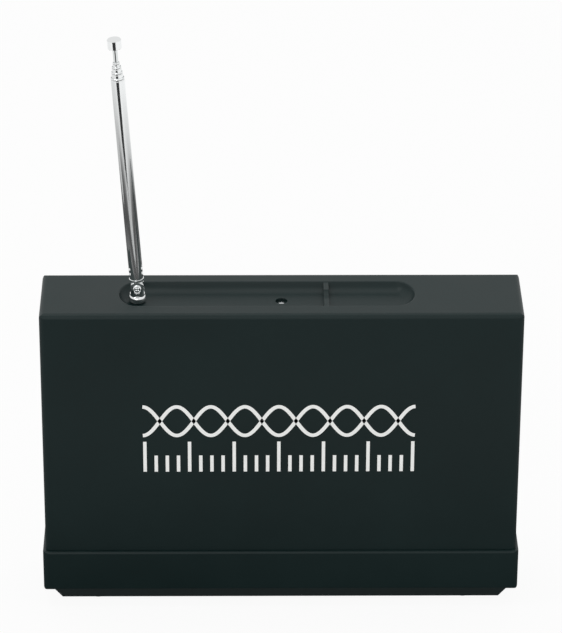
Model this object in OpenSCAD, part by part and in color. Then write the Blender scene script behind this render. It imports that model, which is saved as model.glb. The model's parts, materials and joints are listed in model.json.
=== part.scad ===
// Compact battery theremin: a plain upright case with a folding telescopic antenna.
// Millimetres. +X is right in the view of the plain audience face, which lies at -Y;
// the sunken control panel is at +Y, +Z is up, and the origin is the centre of the
// bounding box at the level that the rubber pads stand on.

/* [Case] */
// Width of the upper case
body_w = 210; // [196:1:230]
// Depth of the upper case, from the audience face to the back rim
body_d = 39.5; // [38:0.5:46]
// Height of the flat top above the table
body_h = 147.5; // [142:0.5:165]
// Thickness of the moulded walls
wall = 2.5; // [2:0.1:3]
// Radius of the outer edges of the upper case
edge_r = 2.2; // [1:0.1:3]
// How far the control panel's face lies in from the back rim
panel_sink = 8.75; // [8:0.25:10]
// Thickness of the control panel
panel_t = 2.5; // [2:0.1:3]

/* [Base] */
// Height of the chamfered foot
foot_h = 8.5; // [7:0.5:11]
// How far the bottom of the foot lies in from the band
foot_inset = 8; // [5:0.5:9]
// Width of the shadow step under the band
foot_step = 3.4; // [0.5:0.1:4]
// Height of the straight band above the foot
band_h = 19.7; // [18:0.1:24]
// How far the band stands out past the case at each side
band_side = 1.25; // [0.8:0.05:2]
// How far the band stands out past the case in front and behind
band_front = 1.5; // [1:0.05:2]
// Rounding of the band's edges
band_r = 0.9; // [0.4:0.1:1.2]
// Thickness of the base's floor
floor_t = 3.5; // [3:0.1:4]
// How far the rubber pads stand out below the foot
pad_out = 0.5; // [0.3:0.1:0.8]
// Radius of the rubber pads
pad_r = 4; // [3:0.25:4.5]

/* [Antenna recess] */
// From the case's middle to the left end of the recess
recess_left = 70.6; // [70:0.2:74]
// From the case's middle to the right end of the recess
recess_right = 58; // [57:0.5:64]
// Width of the recess, front to back
recess_w = 21.9; // [20:0.1:23]
// How far the recess's centre line lies behind the middle of the case
recess_back = 0.45; // [0:0.05:0.6]
// Depth of the recess
recess_t = 3.6; // [3.2:0.1:4]
// Length of the recess's curved ends
recess_end = 7.5; // [6.5:0.1:8.5]
// Radius of the tight corners of those ends
recess_corner = 5; // [4:0.1:5.5]
// Radius of the cove that rises from the recess's floor to its rim
cove_r = 5.5; // [4:0.1:6]
// Rounding of the recess's rim
rim_r = 0.8; // [0.2:0.1:1.2]
// Thickness of the cradle rib
rib_t = 2.2; // [1.2:0.1:3]
// From the case's middle to the cradle rib
rib_x = 19.6; // [10:0.2:30]
// Depth of the notch in the cradle rib
rib_notch = 1.8; // [1:0.1:2.5]
// Radius of the screw well in the middle of the recess
well_r = 2.6; // [2.3:0.05:3]

/* [Antenna] */
// From the case's middle to the antenna's swivel axis
antenna_left = 62.8; // [62:0.1:64]
// Height of the fold axis above the flat top
pivot_up = 3.35; // [3.3:0.05:4]
// Lean of the antenna to the left at rest, degrees
lean = 3.96; // [0:0.02:6]
// Outer radius of the outer tube
tube_r = 3; // [2.9:0.01:3.1]
// Running gap between one tube and the next, on the radius
tube_gap = 0.08; // [0.05:0.01:0.1]
// Outer radii of the tubes inside it, and of the rod
second_r = 2.5; // [2.45:0.01:2.52]
// Outer radius of the third tube
third_r = 2.1; // [2.05:0.01:2.12]
// Outer radius of the fourth tube
fourth_r = 1.6; // [1.55:0.01:1.65]
// Radius of the innermost rod
rod_r = 1.05; // [1:0.01:1.1]
// From the fold axis to the mouth of the outer tube
tube_top = 100.55; // [95:0.5:101]
// How far each inner tube shows above the one around it, when pushed in
second_out = 2.6; // [1.5:0.1:3]
// The same for the third tube
third_out = 2.4; // [1.5:0.1:3]
// The same for the fourth tube
fourth_out = 1.8; // [1.5:0.1:3]
// Bare rod between the fourth tube and the tip
rod_out = 6.45; // [4:0.25:7]
// Height of the tip
tip_h = 4.1; // [3:0.1:4.5]
// Radius of the tip
tip_r = 3.05; // [2.6:0.05:3.1]
// Radius of the chrome collar
collar_r = 3.85; // [3.7:0.05:4.2]
// Radius of the fork and of the ferrule above it
fork_r = 3.25; // [3.1:0.05:3.3]
// Width of the fork's slot
fork_slot = 3; // [2.6:0.1:3.2]
// Radius of the fold screw
fold_pin_r = 1; // [0.8:0.05:1.1]

/* [Controls] */
// Diameter of the pitch dial
dial_d = 40; // [34:1:44]
// Diameter of the three small knobs
knob_d = 20; // [18:0.5:22]
// Diameter of the speaker's flange
speaker_d = 57; // [52:0.5:60]
// Radius of the control shafts
shaft_r = 3; // [2.5:0.1:3.1]
// Bore radius of the two 3.5 mm jacks
jack_r = 1.8; // [1.75:0.05:1.9]
// Travel of the power switch
switch_travel = 4; // [3:0.25:5]

/* [Battery] */
// Length of the 9-volt battery's block
battery_l = 46; // [44:0.5:47]
// Its width, front to back as it lies in the base
battery_w = 17.5; // [16.5:0.1:18]
// Its height as it lies in the base
battery_h = 26.5; // [25:0.1:27]
// From the inner face of the right wall to the battery bay's middle
bay_x = 56.5; // [54.5:0.5:60.5]

/* [Hidden] */
$fn = 64;
slack = 0.3;    // air between neighbours that don't touch
fit = 0.05;     // radial running clearance
over = 1;       // how far a cut runs past a face

// heights
foot_z = pad_out;
band_z = foot_z + foot_h;
seam_z = band_z + band_h;
top = body_h;

// half sizes
half_w = body_w / 2;
half_d = body_d / 2;
band_hw = half_w + band_side;
band_hd = half_d + band_front;
in_w = half_w - wall;
in_d = half_d - wall;
foot_hw = band_hw - foot_inset;
foot_hd = band_hd - foot_inset;

// control side: the panel's faces, and the well in front of it
panel_face = half_d - panel_sink;
panel_back = panel_face - panel_t;
panel_low = seam_z + wall + slack;
panel_top = top - recess_t - wall - slack;
panel_hw = in_w - slack;

// antenna
antenna_x = -antenna_left;
recess_floor = top - recess_t;
pivot_z = top + pivot_up;
plug_end = 10;       // end of the root's plug, above the fold axis
second_foot = plug_end + 2;
foot_step_up = 1.5;  // each inner tube's foot stands this much above the last one's
second_top = tube_top + second_out;
third_top = second_top + third_out;
fourth_top = third_top + fourth_out;
tip_low = fourth_top + rod_out;

// ---- shapes that several pieces share ----

// A rectangle with round corners, centred.
module round_rect(w, h, r) {
    square([w - 2 * r, h], center = true);
    square([w, h - 2 * r], center = true);
    for (sx = [-1, 1], sy = [-1, 1])
        translate([sx * (w / 2 - r), sy * (h / 2 - r)])
            circle(r);
}

// A box from its low corner to its high corner.
module block(low, high) {
    translate(low)
        cube(high - low);
}

// A cylinder along Y from y0 to y1.
module rod_y(x, z, r, y0, y1) {
    translate([x, y0, z])
        rotate([-90, 0, 0])
            cylinder(r = r, h = y1 - y0);
}

// A ring along Y from y0 to y1.
module ring_y(x, z, r_out, r_in, y0, y1) {
    difference() {
        rod_y(x, z, r_out, y0, y1);
        rod_y(x, z, r_in, y0 - over, y1 + over);
    }
}

// A ring along Z from z0 to z1.
module ring_z(r_out, r_in, z0, z1) {
    difference() {
        translate([0, 0, z0])
            cylinder(r = r_out, h = z1 - z0);
        translate([0, 0, z0 - over])
            cylinder(r = r_in, h = z1 - z0 + 2 * over);
    }
}

// A round wire that runs through a few points, 8-sided.
function unit(v) = v / norm(v);
function mid_dir(p, i) =
    i == 0 ? unit(p[1] - p[0]) :
    i == len(p) - 1 ? unit(p[i] - p[i - 1]) :
    unit(unit(p[i + 1] - p[i]) + unit(p[i] - p[i - 1]));
function ring_at(c, t, ref, r, n) =
    let (side = unit(cross(t, ref)), up = cross(side, t))
    [for (k = [0 : n - 1]) c + r * cos(360 * k / n) * side + r * sin(360 * k / n) * up];
function bow(a, b, c, s) = (1 - s) * (1 - s) * a + 2 * s * (1 - s) * b + s * s * c;
function rounded_route(p, cut) = concat(
    [p[0]],
    [for (i = [1 : len(p) - 2])
        for (s = [0 : 0.25 : 1])
            bow(p[i] + cut * unit(p[i - 1] - p[i]), p[i], p[i] + cut * unit(p[i + 1] - p[i]), s)],
    [p[len(p) - 1]]
);
module wire(points, r, ref = [0.31, 0.52, 0.79]) {
    n = 8;
    p = rounded_route(points, wire_bend);
    rings = [for (i = [0 : len(p) - 1]) each ring_at(p[i], mid_dir(p, i), ref, r, n)];
    sides = [for (i = [0 : len(p) - 2], k = [0 : n - 1])
        [i * n + k, (i + 1) * n + k, (i + 1) * n + (k + 1) % n, i * n + (k + 1) % n]];
    polyhedron(rings, concat([[for (k = [0 : n - 1]) k]], sides,
        [[for (k = [n - 1 : -1 : 0]) (len(p) - 1) * n + k]]), convexity = 6);
}
wire_bend = 1.5; // rounding of a lead's bends
wire_r = 0.6;

// ---- case ----

// The recess outline: straight sides, and ends of two tight arcs and one wide one.
function end_long(grow) = recess_end + grow;
function end_half(grow) = recess_w / 2 + grow;
function corner_r(grow) = recess_corner + grow;
function wide_r(grow) =
    let (a = end_long(grow), c = end_half(grow) - corner_r(grow), r = corner_r(grow))
    (a * a + c * c - r * r) / (2 * (a - r));
straight_left = recess_left - recess_end;
straight_right = recess_right - recess_end;

// The wedge of the wide arc, seen from the end of the straight sides.
module wide_wedge(grow) {
    a = end_long(grow);
    c = end_half(grow) - corner_r(grow);
    r = wide_r(grow);
    polygon([[a - r, 0], [a - r + 3 * (r - a), 3 * c], [a - r + 3 * (r - a), -3 * c]]);
}

module at_recess_ends() {
    for (end = [[-straight_left, 1], [straight_right, 0]])
        translate([end[0], recess_back])
            mirror([end[1], 0])
                children();
}

module recess_outline(grow = 0) {
    b = end_half(grow);
    r1 = corner_r(grow);
    translate([-straight_left, recess_back - b])
        square([straight_left + straight_right, 2 * b]);
    at_recess_ends() {
        for (s = [-1, 1])
            translate([0, s * (b - r1)])
                circle(r1);
        intersection() {
            translate([end_long(grow) - wide_r(grow), 0])
                circle(wide_r(grow), $fn = 96);
            wide_wedge(grow);
        }
    }
}

// The cove runs tangent from the flat floor into the round rim, and fits the tight corners.
cove_most = (pow(recess_corner + rim_r - 0.1, 2) + pow(recess_t, 2)) / (2 * recess_t) - rim_r;
cove = min(cove_r, cove_most);
cove_run = sqrt(2 * (cove + rim_r) * recess_t - pow(recess_t, 2));
cove_top = cove * recess_t / (cove + rim_r);

// Section of the recess from its middle out over the rim.
module trough_half(half) {
    edge = half + rim_r;
    difference() {
        square([edge, recess_t + over]);
        difference() {
            translate([edge - cove_run, -over])
                square([cove_run + over, cove_top + over]);
            translate([edge - cove_run, cove])
                circle(cove);
        }
        translate([edge, recess_t - rim_r])
            circle(rim_r);
    }
}

module recess_cut() {
    translate([-straight_left, recess_back, recess_floor])
        rotate([90, 0, 90])
            linear_extrude(straight_left + straight_right) {
                trough_half(recess_w / 2);
                mirror([1, 0])
                    trough_half(recess_w / 2);
            }
    translate([0, 0, recess_floor])
        at_recess_ends() {
            for (s = [-1, 1])
                translate([0, s * (recess_w / 2 - recess_corner)])
                    rotate_extrude()
                        trough_half(recess_corner);
            intersection() {
                translate([recess_end - wide_r(0), 0])
                    rotate_extrude($fn = 96)
                        trough_half(wide_r(0));
                translate([0, 0, -over])
                    linear_extrude(recess_t + 3 * over)
                        wide_wedge(0);
            }
        }
}

// Upper case without its hollows, with every outer edge rounded.
module case_block() {
    r = edge_r;
    tall = top - seam_z;
    mid_z = seam_z + tall / 2;
    intersection() {
        translate([0, 0, seam_z])
            linear_extrude(tall)
                round_rect(body_w, body_d, r);
        // rounded over the top only: the lower edge runs on past the seam
        translate([0, half_d, mid_z - r])
            rotate([90, 0, 0])
                linear_extrude(body_d)
                    round_rect(body_w, tall + 2 * r, r);
        translate([-half_w, 0, mid_z - r])
            rotate([90, 0, 90])
                linear_extrude(body_w)
                    round_rect(body_d, tall + 2 * r, r);
    }
}

// Posts that the base's screws bite into, joined to the side walls.
post_r = 3.5;
post_x = in_w - 8.6;
post_y = [-9, 2];
post_h = 16;
module screw_posts() {
    for (s = [-1, 1], y = post_y) {
        translate([s * post_x, y, seam_z])
            cylinder(r = post_r, h = post_h);
        block([s > 0 ? post_x : -in_w - over, y - 1, seam_z],
            [s > 0 ? in_w + over : -post_x, y + 1, seam_z + post_h]);
    }
}

// Posts behind the control panel, and those for the board.
panel_post_in = 5;      // from the side wall to the panel's posts
panel_post_up = 20;     // from the panel's foot to the lowest of them
panel_post_down = 30;   // from its top to the middle ones
panel_post_x = in_w - panel_post_in;
panel_post_z = [panel_low + panel_post_up, panel_top - panel_post_down, panel_top - panel_post_in];
board_up = 8.5;         // from the inner face of the front wall to the board's face
board_face = board_up - in_d;
board_t = 1.6;
knob_apart = 10;        // between neighbouring knobs
knob_in = 18.5;         // from the side wall to the volume control
board_past = 12;        // from the switch column to the board's left edge
board_in = 10.5;        // from the side wall to its right edge
board_above = 32.5;     // from the panel's foot to its lower edge
board_below = 10.1;     // from the panel's top to its upper edge
knob_pitch = knob_d + knob_apart;
volume_x = in_w - knob_in;
column_x = volume_x - 3 * knob_pitch;
board_x = [column_x - board_past, in_w - board_in];
board_z = [panel_low + board_above, panel_top - board_below];
board_hole_in = 5;
board_points = [for (x = [board_x[0] + board_hole_in, board_x[1] - board_hole_in],
    z = [board_z[0] + board_hole_in, board_z[1] - board_hole_in]) [x, z]];
panel_points = [for (s = [-1, 1], z = panel_post_z) [s * panel_post_x, z]];

module housing() {
    color([0.14, 0.17, 0.17])
    difference() {
        union() {
            difference() {
                case_block();
                // hollow for the works, open below
                block([-in_w, -in_d, seam_z - over], [in_w, panel_back, top - wall]);
                // well in front of the control panel
                block([-in_w, panel_back - over, seam_z + wall],
                    [in_w, half_d + over, panel_top + slack]);
            }
            // underside of the antenna recess
            intersection() {
                translate([0, 0, recess_floor - wall])
                    linear_extrude(recess_t + wall - edge_r)
                        recess_outline(wall);
                case_block();
            }
            block([-in_w - over, panel_back - lintel_t, panel_top - wall],
                [in_w + over, panel_back, top - wall + over]);
            screw_posts();
            for (p = panel_points) {
                rod_y(p[0], p[1], post_r, -in_d - over, panel_back);
            }
            for (p = board_points)
                rod_y(p[0], p[1], post_r, -in_d - over, board_face - board_t);
        }
        // the recess, all but its cradle rib
        difference() {
            recess_cut();
            cradle_rib();
        }
        // collar stem and recess screw
        translate([antenna_x, recess_back, recess_floor - wall - over])
            cylinder(r = stem_r + slack, h = wall + 2 * over);
        translate([0, recess_back, recess_floor - well_t])
            cylinder(r = well_r, h = well_t + over);
        translate([0, recess_back, recess_floor - wall - over])
            cylinder(r = recess_screw_r + slack, h = wall + 2 * over);
        // screw holes
        for (s = [-1, 1], y = post_y)
            translate([s * post_x, y, seam_z - over])
                cylinder(r = base_screw_r, h = base_screw_bite + over + slack);
        for (p = panel_points)
            rod_y(p[0], p[1], small_screw_r, panel_back - panel_screw_bite - slack, panel_back + over);
        for (p = board_points)
            rod_y(p[0], p[1], small_screw_r, board_face - board_t - board_screw_bite - slack,
                board_face + over);
    }
}

lintel_t = 1.5;        // wall that closes the case above the control panel
recess_screw_r = 0.9;
well_t = 1.4;          // depth of the screw's well below the recess floor
recess_head_r = 1.5;
recess_head_t = 0.6;
recess_shank = 6;
panel_head_r = 2.4;
panel_head_t = 1.6;
board_head_r = 2.3;
board_head_t = 1.4;
speaker_head_r = 1.4;
speaker_head_t = 0.9;
small_screw_r = 1.25;
base_screw_r = 1.5;
base_screw_bite = 12;
panel_screw_bite = 7;
board_screw_bite = 5;
stem_r = 2.5;

// A wall across the recess with a round notch that the folded antenna lies over.
module cradle_rib() {
    notch_half = tube_r + 1.4;
    notch_r = (notch_half * notch_half + rib_notch * rib_notch) / (2 * rib_notch);
    difference() {
        block([rib_x - rib_t / 2, recess_back - recess_w / 2 - over, recess_floor - over],
            [rib_x + rib_t / 2, recess_back + recess_w / 2 + over, top - rib_drop]);
        translate([rib_x, recess_back, top - rib_drop - rib_notch + notch_r])
            rotate([0, 90, 0])
                cylinder(r = notch_r, h = rib_t + 2 * over, center = true);
    }
}
rib_drop = 0.3;   // the rib's top lies this far under the flat top

// ---- base ----

// Half outline of the base, seen along the other axis, moved in by t.
function base_half(half, t, z0) = [
    [half - foot_inset - t, z0],
    [half - foot_step - t, band_z],
    [half - t - band_r, band_z],
    [half - t - band_r * 0.29, band_z + band_r * 0.29],
    [half - t, band_z + band_r],
    [half - t, seam_z - band_r],
    [half - t - band_r * 0.29, seam_z - band_r * 0.29],
    [half - t - band_r, seam_z]
];
function mirrored(p) = [for (i = [len(p) - 1 : -1 : 0]) [-p[i][0], p[i][1]]];
module base_side(half, deep) {
    p = base_half(half, 0, foot_z);
    rotate([90, 0, 0])
        translate([0, 0, -deep])
            linear_extrude(2 * deep)
                polygon(concat(p, mirrored(p)));
}
module base_block() {
    intersection() {
        base_side(band_hw, band_hd + over);
        rotate([0, 0, 90])
            base_side(band_hd, band_hw + over);
        translate([0, 0, foot_z])
            linear_extrude(band_h + foot_h)
                round_rect(2 * band_hw, 2 * band_hd, edge_r + 0.5);
    }
}

// The inside of the foot, sloping like its outside, and of the band above its ledge.
function hollow_half(half, inner) =
    let (slope = (foot_inset - foot_step) / foot_h, neck = half - foot_step - wall)
    [
        [half - foot_inset - wall + slope * floor_t, foot_z + floor_t],
        [neck, band_z], [neck, band_z + wall],
        [inner, band_z + wall], [inner, seam_z + over]
    ];
module hollow_side(half, inner, deep) {
    p = hollow_half(half, inner);
    rotate([90, 0, 0])
        translate([0, 0, -deep])
            linear_extrude(2 * deep)
                polygon(concat(p, mirrored(p)));
}
module base_hollow() {
    intersection() {
        hollow_side(band_hw, in_w, in_d);
        rotate([0, 0, 90])
            hollow_side(band_hd, in_d, in_w);
    }
}

// battery bay: the cell's block, its snap cap at the left, and a wall round both
snap_t = 4.5;
bay_wall = 1.5;
door_t = 2;
door_lip = 1.2;
bay_spare = 2;         // room along the battery
bay_side = 0.6;        // room at each side of it
bay_open = 3;          // how far the battery stands out above the bay's wall
bay_len = battery_l + snap_t + bay_spare;
bay_wide = battery_w + 2 * bay_side;
bay_mid = in_w - bay_x;
bay_low = bay_mid - bay_len / 2;
bay_high = bay_mid + bay_len / 2;
bay_top = foot_z + door_t + slack + battery_h - bay_open;
hinge_gap = 0.8;       // air at the hinge side, where the door's edge swings past the floor
hinge_reach = 2.6;     // from the hinge axis to the door's edge
hinge_x = bay_low - door_lip + hinge_gap - hinge_reach;
hinge_z = foot_z + 1.6;
barrel_r = 1.5;
barrel_hw = 6;
door_pin_r = 0.8;
door_pin_hw = 10;

module base() {
    color([0.12, 0.15, 0.15])
    difference() {
        union() {
            difference() {
                base_block();
                base_hollow();
            }
            // tongue inside the case's front wall
            block([-tongue_hw, -in_d - over, band_z + 1], [tongue_hw, tongue_back, seam_z]);
            block([-tongue_hw, -in_d + fit, seam_z - over], [tongue_hw, tongue_back, seam_z + tongue_up]);
            // bosses round the case screws
            for (s = [-1, 1], y = post_y)
                translate([s * post_x, y, foot_z])
                    cylinder(r = post_r + 0.5, h = seam_z - foot_z);
            // battery bay
            difference() {
                block([bay_low - bay_wall, -bay_wide / 2 - bay_wall, foot_z],
                    [bay_high + bay_wall, bay_wide / 2 + bay_wall, bay_top]);
                // way out for the snap's leads
                block([bay_low - bay_wall - over, -4, seam_z - 10], [bay_low + over, 4, bay_top + over]);
            }
        }
        block([bay_low, -bay_wide / 2, foot_z - over], [bay_high, bay_wide / 2, bay_top + over]);
        // rebate for the door
        block([bay_low - door_lip, -bay_wide / 2 - door_lip, foot_z - over],
            [bay_high + door_lip, bay_wide / 2 + door_lip, foot_z + door_t + fit]);
        // notch for the hinge barrel, and the pin's bore
        block([hinge_x - barrel_r - slack, -barrel_hw - slack, foot_z - over],
            [bay_low + over, barrel_hw + slack, foot_z + floor_t + over]);
        rod_y(hinge_x, hinge_z, door_pin_r + 0.02, -door_pin_hw - slack, door_pin_hw + slack);
        // case screws, and the wells of their heads
        for (s = [-1, 1], y = post_y) {
            translate([s * post_x, y, foot_z - over])
                cylinder(r = base_screw_r + slack, h = seam_z - foot_z + 2 * over);
            translate([s * post_x, y, foot_z - over])
                cylinder(r = base_head_r + slack, h = head_well + over);
        }
        // seats of the rubber pads
        for (p = pad_points)
            translate([p[0], p[1], foot_z - over])
                cylinder(r = pad_r + fit, h = pad_seat + over);
    }
}
tongue_hw = in_w * 0.55;
tongue_back = 1.9 - in_d;
tongue_up = 4;
base_head_r = 2.75;
base_head_t = 2;
head_well = 12;
pad_seat = 1;
pad_in_side = 12;      // from the foot's end to the pad's edge
pad_in_front = 0.6;    // and from its front or back
pad_x = foot_hw - pad_r - pad_in_side;
pad_y = foot_hd - pad_r - pad_in_front;
pad_points = [for (x = [-1, 1], y = [-1, 1]) [x * pad_x, y * pad_y]];

module battery_door() {
    z1 = foot_z + door_t;
    color([0.1, 0.12, 0.12])
    difference() {
        union() {
            block([hinge_x + hinge_reach, -bay_wide / 2 - door_lip + slack, foot_z],
                [bay_high + door_lip - slack, bay_wide / 2 + door_lip - slack, z1]);
            block([hinge_x, -barrel_hw, foot_z + 0.1],
                [hinge_x + hinge_reach + 0.4, barrel_hw, z1 - 0.1]);
            rod_y(hinge_x, hinge_z, barrel_r, -barrel_hw, barrel_hw);
        }
        rod_y(hinge_x, hinge_z, door_pin_r + fit, -barrel_hw - over, barrel_hw + over);
        // finger notch at the free end
        translate([bay_high + door_lip - 3, 0, foot_z - 2.2])
            rotate([90, 0, 0])
                cylinder(r = 3, h = 12, center = true);
    }
}

module door_pin() {
    color("silver")
    rod_y(hinge_x, hinge_z, door_pin_r, -door_pin_hw, door_pin_hw);
}

module rubber_pads() {
    color([0.08, 0.08, 0.08])
    for (p = pad_points)
        translate([p[0], p[1], 0])
            cylinder(r = pad_r, h = pad_out + pad_seat);
}

// ---- fasteners ----

// A domed screw along Z with its head's seat at z, shank downwards.
module pan_screw(head_r, head_h, r, shank) {
    difference() {
        union() {
            intersection() {
                cylinder(r = head_r, h = head_h);
                translate([0, 0, head_h - 2.2 * head_r])
                    sphere(2.2 * head_r);
            }
            translate([0, 0, -shank])
                cylinder(r = r, h = shank);
        }
        for (a = [0, 90])
            rotate([0, 0, a])
                translate([-head_r * 0.55, -head_r * 0.11, head_h * 0.45])
                    cube([head_r * 1.1, head_r * 0.22, head_h]);
    }
}

module recess_screw() {
    color([0.2, 0.2, 0.2])
    translate([0, recess_back, recess_floor - well_t])
        pan_screw(recess_head_r, recess_head_t, recess_screw_r, recess_shank);
}

module base_screws() {
    color("dimgray")
    for (s = [-1, 1], y = post_y)
        translate([s * post_x, y, foot_z + head_well])
            rotate([180, 0, 0])
                pan_screw(base_head_r, base_head_t, base_screw_r - 0.02,
                    seam_z + base_screw_bite - foot_z - head_well);
}

module panel_screws() {
    color("dimgray")
    for (p = panel_points)
        translate([p[0], panel_face, p[1]])
            rotate([-90, 0, 0])
                pan_screw(panel_head_r, panel_head_t, small_screw_r - 0.02,
                    panel_t + panel_screw_bite);
}

module board_screws() {
    color("silver")
    for (p = board_points)
        translate([p[0], board_face, p[1]])
            rotate([-90, 0, 0])
                pan_screw(board_head_r, board_head_t, small_screw_r - 0.02,
                    board_t + board_screw_bite);
}

// ---- control panel and what it carries ----

speaker_in = 16;        // from the side wall to the speaker's rim
dial_in = 40.5;         // from the side wall to the pitch dial
dial_down = 42.1;       // and from the panel's top
knob_up = 22.5;         // from the panel's foot to the three knobs
lamp_down = 17.1;       // from the panel's top to the lamp, the switch and the jacks
switch_down = 39.1;
headphone_down = 63.1;
line_down = 83.1;
speaker_at = [speaker_d / 2 + speaker_in - in_w, (panel_low + panel_top) / 2];
dial_at = [in_w - dial_in, panel_top - dial_down];
knob_z = panel_low + knob_up;
volume_at = [volume_x, knob_z];
tone_at = [volume_x - knob_pitch, knob_z];
range_at = [volume_x - 2 * knob_pitch, knob_z];
lamp_at = [column_x, panel_top - lamp_down];
switch_at = [column_x, panel_top - switch_down];
headphone_at = [column_x, panel_top - headphone_down];
line_at = [column_x, panel_top - line_down];
pot_points = [dial_at, volume_at, tone_at, range_at];
jack_points = [headphone_at, line_at];
knob_face = band_hd;
knob_gap = 0.6;
nut_t = 2;
nut_r = 5.8;
bush_r = shaft_r + 0.6;
bush_out = 2.6;
can_r = 8;
can_deep = 8;
flange_t = 1.5;
speaker_screw_r = 0.85;
speaker_screw_ring = speaker_d / 2 - 1.7;
speaker_screws_at = [for (a = [45 : 90 : 315])
    speaker_at + speaker_screw_ring * [cos(a), sin(a)]];
grille_r = speaker_d / 2 - 5.5;
slot_pitch = 5;
slot_h = 2.2;
lamp_r = 1.5;
lever_w = 3;
jack_bush_r = jack_r + 1.2;
jack_deep = 13;
jack_out = 2.6;
jack_nut_t = 1.6;

module control_panel() {
    rows = floor(grille_r / slot_pitch);
    color([0.11, 0.13, 0.13])
    difference() {
        block([-panel_hw, panel_back, panel_low], [panel_hw, panel_face, panel_top]);
        for (p = panel_points)
            rod_y(p[0], p[1], small_screw_r + slack, panel_back - over, panel_face + over);
        for (p = pot_points)
            rod_y(p[0], p[1], bush_r + fit, panel_back - over, panel_face + over);
        for (p = jack_points)
            rod_y(p[0], p[1], jack_bush_r + fit, panel_back - over, panel_face + over);
        rod_y(lamp_at[0], lamp_at[1], lamp_r + fit, panel_back - over, panel_face + over);
        for (p = speaker_screws_at)
            rod_y(p[0], p[1], speaker_screw_r + 0.02, panel_back - over, panel_back + panel_t * 0.7);
        for (i = [-rows : rows]) {
            half = sqrt(grille_r * grille_r - i * i * slot_pitch * slot_pitch);
            block([speaker_at[0] - half, panel_back - over, speaker_at[1] + i * slot_pitch - slot_h / 2],
                [speaker_at[0] + half, panel_face + over, speaker_at[1] + i * slot_pitch + slot_h / 2]);
        }
        block([switch_at[0] - lever_w / 2 - slack, panel_back - over, switch_at[1] - lever_w / 2 - slack],
            [switch_at[0] + lever_w / 2 + slack, panel_face + over,
                switch_at[1] + lever_w / 2 + switch_travel + slack]);
    }
}

// A turned piece that faces the panel: its profile's height runs inwards from the panel.
module behind_panel(at) {
    translate([at[0], panel_back, at[1]])
        rotate([90, 0, 0])
            children();
}

basket_in = speaker_d / 2 - 4.3;
basket_deep = 9.5;
magnet_r = 15;
magnet_deep = 7;
cone_low = basket_deep - 3.1;

module speaker_basket() {
    color("gray")
    difference() {
        behind_panel(speaker_at)
            rotate_extrude()
                polygon([
                    [basket_in, 0], [speaker_d / 2, 0], [speaker_d / 2, flange_t],
                    [basket_in + 1.2, flange_t], [basket_in - 1.7, basket_deep],
                    [10, basket_deep], [10, basket_deep - 1.2],
                    [basket_in - 2.5, basket_deep - 1.2], [basket_in, 1]
                ]);
        for (p = speaker_screws_at)
            rod_y(p[0], p[1], speaker_screw_r + 0.02, panel_back - basket_deep, panel_back + over);
    }
}

module speaker_cone() {
    color([0.15, 0.15, 0.16])
    behind_panel(speaker_at)
        rotate_extrude()
            polygon([
                [0, cone_low], [5.5, cone_low + 0.4], [basket_in - 0.9, 0.8],
                [basket_in - 0.5, 1.4], [6, cone_low + 1.3], [0, cone_low + 0.9]
            ]);
}

module speaker_magnet() {
    color([0.3, 0.3, 0.32])
    behind_panel(speaker_at)
        translate([0, 0, basket_deep])
            ring_z(magnet_r, 5, 0, magnet_deep);
}

module speaker_screws() {
    color("silver")
    for (p = speaker_screws_at)
        translate([p[0], panel_back - flange_t, p[1]])
            rotate([90, 0, 0])
                pan_screw(speaker_head_r, speaker_head_t, speaker_screw_r,
                    flange_t + panel_t * 0.6);
}

module main_board() {
    color([0.1, 0.35, 0.2])
    difference() {
        block([board_x[0], board_face - board_t, board_z[0]], [board_x[1], board_face, board_z[1]]);
        for (p = board_points)
            rod_y(p[0], p[1], small_screw_r + slack, board_face - board_t - over, board_face + over);
    }
}

// parts on the board, placed from its corners
osc_can_w = 10;
osc_can_h = 12;
core_r = 2.4;
core_deep = 2;
chip_l = 20;
chip_w = 6.4;
chip_t = 3.6;
cap_r = 3.2;
cap_h = 11;
board_left = board_x[0];
board_right = board_x[1];
board_low = board_z[0];
board_high = board_z[1];
osc_can_in = 40;       // from the board's left edge to the first can
osc_can_pitch = 16;
osc_can_down = 14;
chip_in = 58;          // from the board's left edge to the first chip
chip_pitch = 26;
chip_up = 14;          // from the board's lower edge to the first and to the second chip
chip_up_next = 12;
cap_in = 10;           // from the board's right edge to two capacitors
cap_down = 19;
cap_apart = 10;
cap_in_left = 24;      // from its left edge to the other two
cap_down_left = 17;
cap_apart_left = 22;

module oscillator_cans() {
    first = [board_left + osc_can_in, board_high - osc_can_down];
    color("silver")
    for (p = [first, first + [osc_can_pitch, 0], first - [0, osc_can_pitch + 4]])
        difference() {
            block([p[0] - osc_can_w / 2, board_face, p[1] - osc_can_w / 2],
                [p[0] + osc_can_w / 2, board_face + osc_can_h, p[1] + osc_can_w / 2]);
            rod_y(p[0], p[1], core_r, board_face + osc_can_h - core_deep,
                board_face + osc_can_h + over);
        }
}

module board_chips() {
    first = [board_left + chip_in, board_low + chip_up];
    second = [board_left + chip_in + chip_pitch, board_low + chip_up_next];
    color([0.1, 0.1, 0.1])
    for (p = [first, second])
        block([p[0] - chip_l / 2, board_face, p[1] - chip_w / 2],
            [p[0] + chip_l / 2, board_face + chip_t, p[1] + chip_w / 2]);
}

module board_capacitors() {
    right = [board_right - cap_in, board_high - cap_down];
    left = [board_left + cap_in_left, board_high - cap_down_left];
    color([0.15, 0.2, 0.4])
    for (p = [right, right - [0, cap_apart], left, left - [0, cap_apart_left]])
        rod_y(p[0], p[1], cap_r, board_face, board_face + cap_h);
}

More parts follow.
